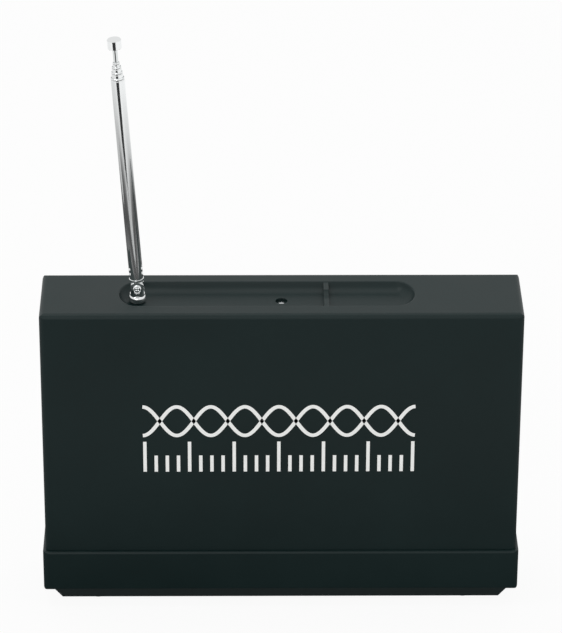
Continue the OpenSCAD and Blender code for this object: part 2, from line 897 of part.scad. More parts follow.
module pot(at) {
    color([0.55, 0.56, 0.55])
    difference() {
        union() {
            rod_y(at[0], at[1], can_r, panel_back - can_deep, panel_back);
            rod_y(at[0], at[1], bush_r, panel_back - over, panel_face + bush_out);
            block([at[0] - 5, panel_back - can_deep, at[1] - can_r - 3],
                [at[0] + 5, panel_back - can_deep + 1.3, at[1]]);
        }
        rod_y(at[0], at[1], shaft_r + fit, panel_back - can_deep + 1.5, panel_face + bush_out + over);
    }
}

module pot_shaft(at) {
    color([0.7, 0.7, 0.7])
    rod_y(at[0], at[1], shaft_r, panel_back - can_deep + 1.8, knob_face - 1.8);
}

// A knob with a skirt, grip grooves, a pointer line and a hollow over the nut.
module knob(at, d, grooves) {
    low = panel_face + knob_gap;
    hollow = panel_face + bush_out + knob_gap;
    grip_r = d / 2 - 1.4;
    color([0.13, 0.13, 0.13])
    difference() {
        union() {
            rod_y(at[0], at[1], d / 2, low, low + 2.2);
            rod_y(at[0], at[1], grip_r, low, knob_face);
        }
        rod_y(at[0], at[1], nut_r + 0.8, low - over, hollow);
        rod_y(at[0], at[1], shaft_r + 0.02, hollow - over, knob_face - 1.6);
        for (i = [0 : grooves - 1]) {
            a = 360 * (i + 0.5) / grooves;
            rod_y(at[0] + (grip_r + 0.5) * cos(a), at[1] + (grip_r + 0.5) * sin(a),
                1, low + 2.2, knob_face + over);
        }
        block([at[0] - 0.5, knob_face - 0.5, at[1] + grip_r * 0.35],
            [at[0] + 0.5, knob_face + over, at[1] + grip_r + over]);
    }
}

module pitch_pot() { pot(dial_at); }
module pitch_shaft() { pot_shaft(dial_at); }
module pitch_dial() { knob(dial_at, dial_d, 24); }
module volume_pot() { pot(volume_at); }
module volume_shaft() { pot_shaft(volume_at); }
module volume_knob() { knob(volume_at, knob_d, 14); }
module tone_pot() { pot(tone_at); }
module tone_shaft() { pot_shaft(tone_at); }
module tone_knob() { knob(tone_at, knob_d, 14); }
module range_pot() { pot(range_at); }
module range_shaft() { pot_shaft(range_at); }
module range_knob() { knob(range_at, knob_d, 14); }

module pot_nuts() {
    color("silver")
    for (p = pot_points)
        difference() {
            translate([p[0], panel_face, p[1]])
                rotate([-90, 0, 0])
                    cylinder(r = nut_r, h = nut_t, $fn = 6);
            rod_y(p[0], p[1], bush_r + 0.02, panel_face - over, panel_face + nut_t + over);
        }
}

lever_in = 3;
module power_switch() {
    color([0.2, 0.2, 0.2])
    difference() {
        block([switch_at[0] - 4, panel_back - 7, switch_at[1] - lever_w / 2 - 3],
            [switch_at[0] + 4, panel_back, switch_at[1] + lever_w / 2 + switch_travel + 3]);
        block([switch_at[0] - lever_w / 2 - fit, panel_back - lever_in - fit,
                switch_at[1] - lever_w / 2 - slack],
            [switch_at[0] + lever_w / 2 + fit, panel_back + over,
                switch_at[1] + lever_w / 2 + switch_travel + slack]);
    }
}

module switch_lever() {
    color([0.75, 0.75, 0.72])
    union() {
        block([switch_at[0] - lever_w / 2, panel_back - lever_in, switch_at[1] - lever_w / 2],
            [switch_at[0] + lever_w / 2, panel_face + 1, switch_at[1] + lever_w / 2]);
        block([switch_at[0] - lever_w / 2 - 1, panel_face + slack, switch_at[1] - lever_w / 2 - 0.6],
            [switch_at[0] + lever_w / 2 + 1, panel_face + 3.2, switch_at[1] + lever_w / 2 + 0.6]);
    }
}

module power_lamp() {
    color("red")
    union() {
        rod_y(lamp_at[0], lamp_at[1], lamp_r, panel_back - 0.5, panel_face + 0.6);
        rod_y(lamp_at[0], lamp_at[1], lamp_r + 0.5, panel_back - 4, panel_back);
        translate([lamp_at[0], panel_face + 0.6, lamp_at[1]])
            sphere(lamp_r);
    }
}

module jack(at) {
    color([0.12, 0.12, 0.12])
    difference() {
        union() {
            block([at[0] - 5, panel_back - jack_deep, at[1] - 5], [at[0] + 5, panel_back, at[1] + 5]);
            rod_y(at[0], at[1], jack_bush_r, panel_back - over, panel_face + jack_out);
        }
        rod_y(at[0], at[1], jack_r, panel_back - jack_deep + over, panel_face + jack_out + over);
    }
}
module headphone_jack() { jack(headphone_at); }
module line_jack() { jack(line_at); }

module jack_nuts() {
    color("silver")
    for (p = jack_points)
        ring_y(p[0], p[1], jack_bush_r + 1.6, jack_bush_r + 0.02, panel_face, panel_face + jack_nut_t);
}

// ---- battery ----

battery_low = bay_low + snap_t + 1.5;
battery_z = foot_z + door_t + slack;
stud_pitch = 12.7;
stud_z = [for (s = [-1, 1]) battery_z + battery_h / 2 + s * stud_pitch / 2];
snap_x = bay_low + 1;
snap_plate = 2.5;

module battery() {
    color([0.2, 0.22, 0.25])
    union() {
        translate([battery_low, 0, battery_z + battery_h / 2])
            rotate([90, 0, 90])
                linear_extrude(battery_l - 0.5)
                    round_rect(battery_w, battery_h, 1.5);
        for (z = stud_z)
            translate([snap_x + snap_plate, 0, z])
                rotate([0, 90, 0])
                    cylinder(r = 3, h = battery_low - snap_x - snap_plate + 0.5);
    }
}

module battery_snap() {
    color([0.1, 0.1, 0.1])
    block([snap_x, -battery_w / 2 + 0.5, battery_z + 0.5],
        [snap_x + snap_plate, battery_w / 2 - 0.5, battery_z + battery_h - 0.5]);
}

// ---- antenna: collar and fork stand on the recess floor, the rest folds ----

collar_top = pivot_z - fork_r - 0.4;
spindle_r = 1.6;
stem_end = recess_floor - wall - 5;
lug_t = 0.5;
collar_nut_t = 2.3;
fork_base = fork_r - 0.35;   // depth of the slot's floor under the fold axis
tongue_r = fork_base - 0.15;
cheek = fork_slot / 2 + 1.1;
ferrule_low = fork_r + 0.35;
ferrule_top = ferrule_low + 0.9;

module at_antenna(z = 0) {
    translate([antenna_x, recess_back, z])
        children();
}

// The folding pieces, drawn upright from the fold axis, are leaned to the left.
module leaning() {
    at_antenna(pivot_z)
        rotate([0, -lean, 0])
            children();
}

module antenna_collar() {
    color("silver")
    at_antenna()
        difference() {
            union() {
                translate([0, 0, recess_floor])
                    cylinder(r = collar_r, h = collar_top - recess_floor);
                translate([0, 0, stem_end])
                    cylinder(r = stem_r, h = recess_floor - stem_end + over);
            }
            translate([0, 0, stem_end - over])
                cylinder(r = spindle_r + fit, h = collar_top - stem_end + 2 * over);
        }
}

module antenna_fork() {
    z0 = collar_top + fit;
    color("silver")
    difference() {
        union() {
            intersection() {
                at_antenna(z0)
                    cylinder(r = fork_r, h = pivot_z + fork_r - z0);
                union() {
                    block([antenna_x - fork_r - over, recess_back - fork_r - over, z0],
                        [antenna_x + fork_r + over, recess_back + fork_r + over, pivot_z]);
                    rod_y(antenna_x, pivot_z, fork_r, recess_back - fork_r - over,
                        recess_back + fork_r + over);
                }
                block([antenna_x - fork_r - over, recess_back - cheek, z0 - over],
                    [antenna_x + fork_r + over, recess_back + cheek, pivot_z + fork_r + over]);
            }
            at_antenna(stem_end - 1.5)
                cylinder(r = spindle_r, h = z0 - stem_end + 1.5 + 0.2);
        }
        block([antenna_x - fork_r - over, recess_back - fork_slot / 2, pivot_z - fork_base],
            [antenna_x + fork_r + over, recess_back + fork_slot / 2, pivot_z + fork_r + over]);
        rod_y(antenna_x, pivot_z, fold_pin_r + 0.02, recess_back - cheek - over,
            recess_back + cheek + over);
    }
}

module swivel_clip() {
    color("dimgray")
    at_antenna()
        ring_z(spindle_r + 1.4, spindle_r + 0.02, stem_end - 1, stem_end - 0.2);
}

module collar_nut() {
    color("silver")
    at_antenna(recess_floor - wall - lug_t - collar_nut_t)
        difference() {
            cylinder(r = stem_r + 2.2, h = collar_nut_t, $fn = 6);
            translate([0, 0, -over])
                cylinder(r = stem_r + 0.02, h = collar_nut_t + 2 * over);
        }
}

lug_reach = 9;
module antenna_lug() {
    color("goldenrod")
    at_antenna(recess_floor - wall - lug_t)
        difference() {
            union() {
                cylinder(r = stem_r + 1.6, h = lug_t);
                translate([0, -1.3, 0])
                    cube([lug_reach, 2.6, lug_t]);
            }
            translate([0, 0, -over])
                cylinder(r = stem_r + 0.02, h = lug_t + 2 * over);
        }
}

module fold_screw() {
    color("silver")
    translate([antenna_x, recess_back - cheek, pivot_z])
        rotate([90, 0, 0]) {
            pan_screw(1.9, 0.9, fold_pin_r, 2 * cheek);
            translate([0, 0, -2 * cheek - 0.6])
                cylinder(r = 1.7, h = 0.6);
        }
}

module antenna_root() {
    tongue = fork_slot - 2 * tube_gap;
    plug_r = second_r + tube_gap - 0.02;
    color("silver")
    leaning()
        difference() {
            union() {
                rotate([90, 0, 0])
                    cylinder(r = tongue_r, h = tongue, center = true);
                translate([-tongue_r * 0.85, -tongue / 2, 0])
                    cube([tongue_r * 1.7, tongue, ferrule_low + 0.2]);
                translate([0, 0, ferrule_low])
                    cylinder(r = fork_r, h = ferrule_top - ferrule_low);
                translate([0, 0, ferrule_low])
                    cylinder(r = plug_r, h = plug_end - ferrule_low);
            }
            rotate([90, 0, 0])
                cylinder(r = fold_pin_r + fit, h = fork_slot + over, center = true);
        }
}

// A tube with its mouth drawn in at the top.
module drawn_tube(r_out, r_in, low, high) {
    lip = 0.12;
    rotate_extrude()
        polygon([
            [r_in, low], [r_out, low], [r_out, high - 2 * lip],
            [r_out - lip, high], [r_in, high]
        ]);
}

module outer_tube() {
    color([0.8, 0.8, 0.8])
    leaning()
        drawn_tube(tube_r, second_r + tube_gap, ferrule_top, tube_top);
}

module second_tube() {
    color([0.75, 0.75, 0.75])
    leaning()
        drawn_tube(second_r, third_r + tube_gap, second_foot, second_top);
}

module third_tube() {
    color([0.8, 0.8, 0.8])
    leaning()
        drawn_tube(third_r, fourth_r + tube_gap, second_foot + foot_step_up, third_top);
}

module fourth_tube() {
    color([0.75, 0.75, 0.75])
    leaning()
        drawn_tube(fourth_r, rod_r + tube_gap, second_foot + 2 * foot_step_up, fourth_top);
}

module antenna_rod() {
    low = second_foot + 3 * foot_step_up;
    color([0.8, 0.8, 0.8])
    leaning()
        translate([0, 0, low])
            cylinder(r = rod_r, h = tip_low + tip_h / 2 - low);
}

module antenna_tip() {
    edge = 0.35;
    color([0.85, 0.85, 0.85])
    leaning()
        difference() {
            translate([0, 0, tip_low])
                rotate_extrude()
                    polygon([
                        [0, 0], [tip_r - edge, 0], [tip_r - edge * 0.3, edge * 0.3], [tip_r, edge],
                        [tip_r, tip_h - edge], [tip_r - edge * 0.3, tip_h - edge * 0.3],
                        [tip_r - edge, tip_h], [0, tip_h]
                    ]);
            translate([0, 0, tip_low - over])
                cylinder(r = rod_r + 0.02, h = tip_h / 2 + over + 0.02);
        }
}

// ---- leads ----

lead_end = board_face + 0.05;   // a lead stops just short of the board's copper

module antenna_lead() {
    x = antenna_x + lug_reach - 1.5;
    y = board_face + 6.5;
    low = board_high - 17;
    color([0.7, 0.1, 0.1])
    wire([
        [x, recess_back, recess_floor - wall - lug_t - 0.05],
        [x, recess_back, recess_floor - wall - 10],
        [board_left - 8, y, low + 6],
        [board_left + 6, y, low],
        [board_left + 6, lead_end, low]
    ], wire_r);
}

module speaker_leads() {
    tag_x = speaker_at[0] + basket_in - 5;
    basket_back = panel_back - basket_deep;
    y = (basket_back + board_face) / 2;
    color([0.1, 0.1, 0.5])
    for (dz = [-2, 2])
        wire([
            [tag_x, basket_back - 0.05, speaker_at[1] + dz],
            [tag_x, y, speaker_at[1] + dz],
            [board_left + 4, y, speaker_at[1] - 6 + dz],
            [board_left + 4, lead_end, speaker_at[1] - 6 + dz]
        ], wire_r);
}

module battery_leads() {
    y = board_face + 5;
    color([0.6, 0.1, 0.1])
    for (s = [-1, 1]) {
        x = bay_low - 9 - 2 * s;
        wire([
            [snap_x - 0.05, s * 1.5, seam_z - 6],
            [x, s * 1.5, seam_z - 6],
            [x, y, board_low - 14],
            [x, y, board_low + 6],
            [x, lead_end, board_low + 6]
        ], wire_r);
    }
}

housing();
control_panel();
base();
battery_door();
door_pin();
rubber_pads();
recess_screw();
base_screws();
panel_screws();
speaker_basket();
speaker_cone();
speaker_magnet();
speaker_screws();
main_board();
board_screws();
oscillator_cans();
board_chips();
board_capacitors();
pitch_pot();
pitch_shaft();
pitch_dial();
volume_pot();
volume_shaft();
volume_knob();
tone_pot();
tone_shaft();
tone_knob();
range_pot();
range_shaft();
range_knob();
pot_nuts();
power_switch();
switch_lever();
power_lamp();
headphone_jack();
line_jack();
jack_nuts();
battery();
battery_snap();
antenna_collar();
antenna_fork();
swivel_clip();
collar_nut();
antenna_lug();
fold_screw();
antenna_root();
outer_tube();
second_tube();
third_tube();
fourth_tube();
antenna_rod();
antenna_tip();
antenna_lead();
speaker_leads();
battery_leads();
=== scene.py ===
"""Looks of a compact battery theremin: its case, telescopic antenna and sunken control side."""
import json
import math

import bmesh
import bpy
from mathutils import Matrix, Quaternion, Vector


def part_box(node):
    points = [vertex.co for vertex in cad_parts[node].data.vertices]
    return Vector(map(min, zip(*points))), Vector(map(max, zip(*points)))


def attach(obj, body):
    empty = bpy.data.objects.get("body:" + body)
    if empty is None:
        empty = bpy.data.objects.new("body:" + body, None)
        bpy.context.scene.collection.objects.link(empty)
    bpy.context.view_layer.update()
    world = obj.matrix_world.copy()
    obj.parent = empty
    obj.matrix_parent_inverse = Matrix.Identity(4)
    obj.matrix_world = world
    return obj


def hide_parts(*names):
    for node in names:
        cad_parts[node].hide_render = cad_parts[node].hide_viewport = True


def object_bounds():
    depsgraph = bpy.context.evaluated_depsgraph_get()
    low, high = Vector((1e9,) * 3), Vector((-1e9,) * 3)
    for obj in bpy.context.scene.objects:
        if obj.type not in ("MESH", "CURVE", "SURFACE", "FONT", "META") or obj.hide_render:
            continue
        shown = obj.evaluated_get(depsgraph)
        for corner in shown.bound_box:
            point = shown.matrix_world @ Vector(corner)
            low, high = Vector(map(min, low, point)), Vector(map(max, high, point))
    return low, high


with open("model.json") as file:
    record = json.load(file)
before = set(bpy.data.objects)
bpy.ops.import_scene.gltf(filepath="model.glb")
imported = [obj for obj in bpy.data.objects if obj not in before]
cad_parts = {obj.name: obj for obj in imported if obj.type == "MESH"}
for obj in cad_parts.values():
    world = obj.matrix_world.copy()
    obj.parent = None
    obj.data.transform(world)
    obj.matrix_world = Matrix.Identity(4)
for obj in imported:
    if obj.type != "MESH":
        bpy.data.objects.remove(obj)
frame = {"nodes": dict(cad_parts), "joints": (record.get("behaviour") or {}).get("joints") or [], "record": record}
CAD_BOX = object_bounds()

bl_info = {
    "name": "Theremin looks",
    "version": (1, 0, 0),
    "blender": (4, 5, 0),
    "location": "View3D > Sidebar > Theremin",
    "description": "Finishes and fine pieces of a compact battery theremin",
    "category": "Object",
}

MM = 0.001
INK = 0.03      # how far print stands off its face, in millimetres
NODES = frame["nodes"]
JOINTS = {j["name"]: j for j in frame["joints"]}
SLOTS = {part["node"]: part["material_slot"] for part in frame["record"]["subparts"]}

# The crimps at the outer tube's foot: heights from the fold in millimetres, places round the tube in
# radians, how far a dimple spreads in square millimetres, and the rings of points that carry them
CRIMP_LEVELS = (7.6, 9.9)
CRIMP_SIDES = (-0.22, math.pi + 0.42)
CRIMP_SPREAD = 0.4
CRIMP_ROWS = [5.9 + 0.2 * i for i in range(34)]

# How bright mirrors see the floor, by the distance from the object in metres. The levels are chosen
# so that the antenna has the light and dark bands of polished chrome in a studio.
# Painted light: the floor's glow as mirrors alone see it, a painted shadow under and near the object and painted
# light and dark bands further out, which the chrome reflects
PAINTED_FLOOR_LIGHT = ((0.0, 0.18), (0.006, 0.06), (0.07, 0.26), (0.14, 0.5), (0.18, 0.95), (0.21, 0.95),
               (0.235, 0.2), (0.275, 0.08), (0.31, 0.1), (0.33, 0.17), (0.35, 0.33), (0.37, 0.54),
               (0.4, 0.72), (0.44, 0.83), (0.5, 1.0))
SKY_LIGHT = 0.85

# Sheets that lie on the floor for mirrors alone, a painted dark reflection and painted pale reflections in the
# chrome: corners (x, y) and height in metres
DARK_REFLECTION_CORNERS = ((-0.22, -0.41), (-0.01, -0.41), (0.36, -0.75), (-0.60, -0.75))
FRONT_PALE_REFLECTION_CORNERS = ((-0.19, -0.335), (0.07, -0.315), (0.09, -0.42), (-0.21, -0.40))
SIDE_PALE_REFLECTION_CORNERS = ((-0.48, -0.06), (-0.405, -0.03), (-0.355, 0.27), (-0.46, 0.27))
SHEET_HEIGHT = 0.004


# ---- settings a user would change ----

class CaseLook(bpy.types.PropertyGroup):
    """Colours and grain of the case"""
    case_hex: bpy.props.StringProperty(
        name="Case colour", description="Colour of the moulded case, sRGB hex", default="#0F2020")
    foot_hex: bpy.props.StringProperty(
        name="Base colour", description="Colour of the base, sRGB hex", default="#0F2020")
    panel_hex: bpy.props.StringProperty(
        name="Panel colour", description="Colour of the control panel, sRGB hex", default="#101818")
    print_hex: bpy.props.StringProperty(
        name="Print colour", description="Colour of the screen print, sRGB hex", default="#F4F5F3")
    grain_mm: bpy.props.FloatProperty(
        name="Grain", description="Spacing of the mould grain in millimetres", default=0.45, min=0.1, max=2.0)


class AntennaLook(bpy.types.PropertyGroup):
    """Sizes of the antenna's turned details"""
    lip_mm: bpy.props.FloatProperty(
        name="Rolled lip", description="Height of each tube's rolled mouth in millimetres",
        default=0.9, min=0.3, max=2.0)
    dent_mm: bpy.props.FloatProperty(
        name="Crimp depth", description="Depth of the crimp dimples in millimetres",
        default=0.7, min=0.0, max=0.8)


class StageLook(bpy.types.PropertyGroup):
    """Camera and light"""
    elevation: bpy.props.FloatProperty(
        name="Camera elevation", description="Angle of the camera above the horizon",
        default=math.radians(28.0), subtype="ANGLE")
    turn: bpy.props.FloatProperty(
        name="Camera turn", description="Angle of the camera round the object",
        default=math.radians(0.71), subtype="ANGLE")
    roll: bpy.props.FloatProperty(
        name="Camera roll", description="Tilt of the camera about its own axis",
        default=math.radians(0.235), subtype="ANGLE")
    lens_mm: bpy.props.FloatProperty(
        name="Lens", description="Focal length in millimetres", default=210.0, min=20.0, max=400.0)
    key_watts: bpy.props.FloatProperty(
        name="Key light", description="Power of the overhead softbox in watts", default=3.5, min=0.0)
    lamp_watts: bpy.props.FloatProperty(
        name="Hard lamp", description="Power of the small lamp in watts", default=2.0, min=0.0)
    fill_watts: bpy.props.FloatProperty(
        name="Fill light", description="Power of the front fill in watts", default=3.0, min=0.0)


# ---- small helpers ----

def linear(hex_text):
    """An sRGB hex colour as linear RGBA."""
    values = [int(hex_text[i:i + 2], 16) / 255 for i in (1, 3, 5)]
    return [v / 12.92 if v <= 0.04045 else ((v + 0.055) / 1.055) ** 2.4 for v in values] + [1.0]


def add_node(tree, kind, inputs=None, **settings):
    """Adds a node, sets its properties, and sets or links its inputs."""
    node = tree.nodes.new(kind)
    for key, value in settings.items():
        setattr(node, key, value)
    for key, value in (inputs or {}).items():
        if isinstance(value, bpy.types.NodeSocket):
            tree.links.new(value, node.inputs[key])
        else:
            node.inputs[key].default_value = value
    return node


def new_material(name):
    """An empty node material with its surface shader and the object's own coordinates."""
    material = bpy.data.materials.new(name)
    material.use_nodes = True
    tree = material.node_tree
    tree.nodes.clear()
    shader = add_node(tree, "ShaderNodeBsdfPrincipled")
    add_node(tree, "ShaderNodeOutputMaterial", {"Surface": shader.outputs[0]})
    place = add_node(tree, "ShaderNodeTexCoord").outputs["Object"]
    return material, tree, shader, place


def per_mm(size_mm):
    """Texture scale at which one cell is that many millimetres wide."""
    return 1.0 / (size_mm * MM)


def finish_with(material, name):
    """Gives a CAD node a material."""
    slots = NODES[name].data.materials
    if not slots:
        slots.append(material)
    for i in range(len(slots)):
        slots[i] = material


def new_object(name, mesh, material, body, replaced=()):
    """Links a mesh as a piece that rides on a body and takes the material given."""
    piece = bpy.data.objects.new(name, mesh)
    bpy.context.scene.collection.objects.link(piece)
    piece.data.materials.append(material)
    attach(piece, body)
    if replaced:
        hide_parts(*replaced)


def smooth(mesh):
    """Smooth shading, with edges sharper than 30 degrees kept sharp."""
    mesh.polygons.foreach_set("use_smooth", [True] * len(mesh.polygons))
    mesh.set_sharp_from_angle(angle=math.radians(30))


# ---- finishes ----

def moulded_abs(name, hex_text, grain_mm, roughness=0.42, grain=0.25):
    """ABS, moulded against a spark-eroded tool: a satin skin with a fine grain that breaks up
    reflections, faint flow clouds that vary its gloss, and edges that are softly broken. The
    grain is coarser than a real one, so that it shows."""
    material, tree, shader, place = new_material(name)
    clouds = add_node(tree, "ShaderNodeTexNoise",
                      {"Vector": place, "Scale": per_mm(60), "Detail": 3.0, "Roughness": 0.6})
    skin = add_node(tree, "ShaderNodeTexNoise",
                    {"Vector": place, "Scale": per_mm(grain_mm), "Detail": 2.0, "Roughness": 0.7})
    tone = add_node(tree, "ShaderNodeMapRange",
                    {"Value": clouds.outputs["Fac"], "From Min": 0.3, "From Max": 0.7,
                     "To Min": 0.9, "To Max": 1.1})
    base = linear(hex_text)
    colour = add_node(tree, "ShaderNodeVectorMath",
                      {0: base[:3], "Scale": tone.outputs[0]}, operation="SCALE")
    gloss = add_node(tree, "ShaderNodeMapRange",
                     {"Value": clouds.outputs["Fac"], "From Min": 0.3, "From Max": 0.7,
                      "To Min": roughness - 0.04, "To Max": roughness + 0.04})
    broken_edge, grain_depth = 0.4 * MM, 0.05 * MM
    edge = add_node(tree, "ShaderNodeBevel", {"Radius": broken_edge}, samples=6)
    bump = add_node(tree, "ShaderNodeBump",
                    {"Height": skin.outputs["Fac"], "Strength": grain, "Distance": grain_depth,
                     "Normal": edge.outputs[0]})
    tree.links.new(colour.outputs[0], shader.inputs["Base Color"])
    tree.links.new(gloss.outputs[0], shader.inputs["Roughness"])
    tree.links.new(bump.outputs[0], shader.inputs["Normal"])
    shader.inputs["Specular IOR Level"].default_value = 0.24
    return material


def plated_metal(name, hex_text, roughness):
    """Plated or bare metal: a mirror with faint upright drawing marks that streak its gloss. Real
    marks are finer than 0.1 mm; these are 0.4 mm apart, so that they show."""
    scratch_mm, scratch = 0.4, 0.05
    material, tree, shader, place = new_material(name)
    stretch = add_node(tree, "ShaderNodeMapping", {"Vector": place, "Scale": (1.0, 1.0, 0.04)})
    marks = add_node(tree, "ShaderNodeTexNoise",
                     {"Vector": stretch.outputs[0], "Scale": per_mm(scratch_mm), "Detail": 3.0})
    gloss = add_node(tree, "ShaderNodeMapRange",
                     {"Value": marks.outputs["Fac"], "From Min": 0.3, "From Max": 0.7,
                      "To Min": max(roughness - scratch, 0.02), "To Max": roughness + scratch})
    tree.links.new(gloss.outputs[0], shader.inputs["Roughness"])
    shader.inputs["Base Color"].default_value = linear(hex_text)
    shader.inputs["Metallic"].default_value = 1.0
    return material


def plain_coat(name, hex_text, roughness, speck_mm=1.5, spread=0.12):
    """Coats and plain mouldings: one colour with a little speckle and an uneven gloss."""
    material, tree, shader, place = new_material(name)
    specks = add_node(tree, "ShaderNodeTexNoise",
                      {"Vector": place, "Scale": per_mm(speck_mm), "Detail": 4.0})
    tone = add_node(tree, "ShaderNodeMapRange",
                    {"Value": specks.outputs["Fac"], "From Min": 0.3, "From Max": 0.7,
                     "To Min": 1 - spread, "To Max": 1 + spread})
    colour = add_node(tree, "ShaderNodeVectorMath",
                      {0: linear(hex_text)[:3], "Scale": tone.outputs[0]}, operation="SCALE")
    gloss = add_node(tree, "ShaderNodeMapRange",
                     {"Value": specks.outputs["Fac"], "To Min": max(roughness - 0.08, 0.02),
                      "To Max": roughness + 0.08})
    tree.links.new(colour.outputs[0], shader.inputs["Base Color"])
    tree.links.new(gloss.outputs[0], shader.inputs["Roughness"])
    return material


FINISHES = {}


def make_finishes():
    """One material for each real finish, kept by the record's slot name."""
    look = bpy.context.scene.theremin_case
    grain = look.grain_mm
    FINISHES.update({
        # Plastic, rubber and ink on the outside: satin with soft highlights, the pads dead matt
        "case_plastic": moulded_abs("ABS, spark-grained, dark green grey", look.case_hex, grain),
        "base_plastic": moulded_abs("ABS, spark-grained, base", look.foot_hex, grain, 0.38),
        "panel_plastic": moulded_abs("ABS, fine-grained, black", look.panel_hex, grain, 0.5),
        "knob_plastic": moulded_abs("ABS, satin, black knob", "#1B1D1E", 0.6, 0.36, 0.15),
        "foot_rubber": plain_coat("Rubber, moulded, matt", "#1A1A1A", 0.85),
        "print_ink": plain_coat("Ink, screen-printed, white", look.print_hex, 0.55, 3.0, 0.02),
        # Bright metal on the outside: a mirror on the antenna, a softer shine on the screws
        "antenna_chrome": plated_metal("Chrome plate on brass, polished", "#F0F2F2", 0.07),
        "rod_steel": plated_metal("Stainless steel, drawn, polished", "#DDE0E0", 0.03),
        "screw_steel": plated_metal("Zinc plate on steel, bright", "#D3D6D7", 0.25),
        "screw_black": plain_coat("Enamel, black, gloss, on steel", "#0A0C0C", 0.16),
        # Small mouldings and the lamp, whose epoxy is glossy like glass
        "lever_plastic": plain_coat("Acetal, natural, switch lever", "#C9C8C0", 0.3, 2.0, 0.03),
        "lamp_red": plain_coat("Epoxy, red lamp", "#B01313", 0.12, 1.0, 0.05),
        # Inside: dull tin and enamel, matt paper and ferrite, a glossy green board
        "pot_metal": plated_metal("Tin plate on steel", "#A9ABA8", 0.32),
        "basket_steel": plain_coat("Enamel, grey, on steel", "#6E7071", 0.45),
        "cone_paper": plain_coat("Paper, pressed, black", "#202021", 0.9, 0.6, 0.25),
        "magnet_ferrite": plain_coat("Ferrite, ground", "#39393B", 0.55, 0.5),
        "board_laminate": plain_coat("Solder mask, green, on laminate", "#1B5B34", 0.3, 2.5),
        "chip_plastic": plain_coat("Epoxy, moulded, black", "#17181A", 0.5, 0.4),
        "capacitor_sleeve": plain_coat("Shrink sleeve, blue", "#1E3E6E", 0.3, 3.0, 0.05),
        "can_metal": plated_metal("Aluminium, deep-drawn", "#C9CBCC", 0.28),
        "lug_brass": plated_metal("Brass, stamped", "#C7A252", 0.22),
        "lead_red": plain_coat("PVC, red", "#8E1B1B", 0.4, 2.0, 0.04),
        "lead_blue": plain_coat("PVC, blue", "#1E2E7A", 0.4, 2.0, 0.04),
        "battery_jacket": plain_coat("Lacquer on steel, slate", "#2B333D", 0.28, 4.0, 0.04),
    })


def dress_frame():
    """Every CAD node gets the finish of its slot; the base and the rod have one of their own."""
    for name, slot in SLOTS.items():
        finish_with(FINISHES[slot], name)
    finish_with(FINISHES["base_plastic"], "base")
    finish_with(FINISHES["rod_steel"], "antenna_rod")


# ---- turned and printed pieces ----

def lathe(name, profile, place, segments=64, dent=None):
    """A turned mesh from a closed (radius, height) profile in millimetres."""
    verts, faces = [], []
    rings = len(profile)
    for i in range(segments):
        angle = 2 * math.pi * i / segments
        for radius, height in profile:
            r = radius - (dent(angle, radius, height) if dent else 0.0)
            verts.append(place @ Vector((r * math.cos(angle), r * math.sin(angle), height)) * MM)
    for i in range(segments):
        j = (i + 1) % segments
        for k in range(rings):
            m = (k + 1) % rings
            faces.append((i * rings + k, j * rings + k, j * rings + m, i * rings + m))
    mesh = bpy.data.meshes.new(name)
    mesh.from_pydata(verts, [], faces)
    shape = bmesh.new()
    shape.from_mesh(mesh)
    bmesh.ops.remove_doubles(shape, verts=shape.verts, dist=1e-7)
    bmesh.ops.dissolve_degenerate(shape, dist=1e-8, edges=shape.edges)
    bmesh.ops.recalc_face_normals(shape, faces=shape.faces)
    shape.to_mesh(mesh)
    shape.free()
    smooth(mesh)
    return mesh


def antenna_axis():
    """(fold point, direction) of the leaning antenna, in millimetres."""
    low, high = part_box("fold_screw")
    back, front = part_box("antenna_collar")
    direction = Vector(JOINTS["rod_slide"]["axis"]).normalized()
    middle = Vector(((low.x + high.x) / 2, (back.y + front.y) / 2, (low.z + high.z) / 2))
    return middle / MM, direction


def along(node):
    """(low end, high end, outer radius) of an antenna piece, in millimetres from the fold."""
    middle, direction = antenna_axis()
    piece = NODES[node]
    spots = [piece.matrix_world @ v.co / MM - middle for v in piece.data.vertices]
    heights = [spot.dot(direction) for spot in spots]
    radius = max((spot - direction * spot.dot(direction)).length for spot in spots)
    return min(heights), max(heights), radius


def bead(radius, low, high, bulge, steps=8):
    """Profile points of a rounded band that bulges out to the radius."""
    points = []
    for i in range(steps + 1):
        t = math.pi * i / steps
        points.append((radius - bulge + bulge * math.sin(t),
                       (low + high) / 2 - (high - low) / 2 * math.cos(t)))
    return points


def tube_profile(low, high, r_out, r_in, lip, rows=()):
    """A tube with a groove and a rolled lip at its mouth, and extra points at the rows' heights."""
    rolled = high - lip
    groove, slope, width = 0.16, 0.25, 0.5
    outer = [(r_out, low)] + [(r_out, h) for h in rows]
    outer += [(r_out, rolled - width), (r_out - groove, rolled - slope), (r_out - groove, rolled)]
    outer += bead(r_out, rolled, high, 0.3)
    return outer + [(r_in + 0.1, high), (r_in, high - 0.15), (r_in, low)]


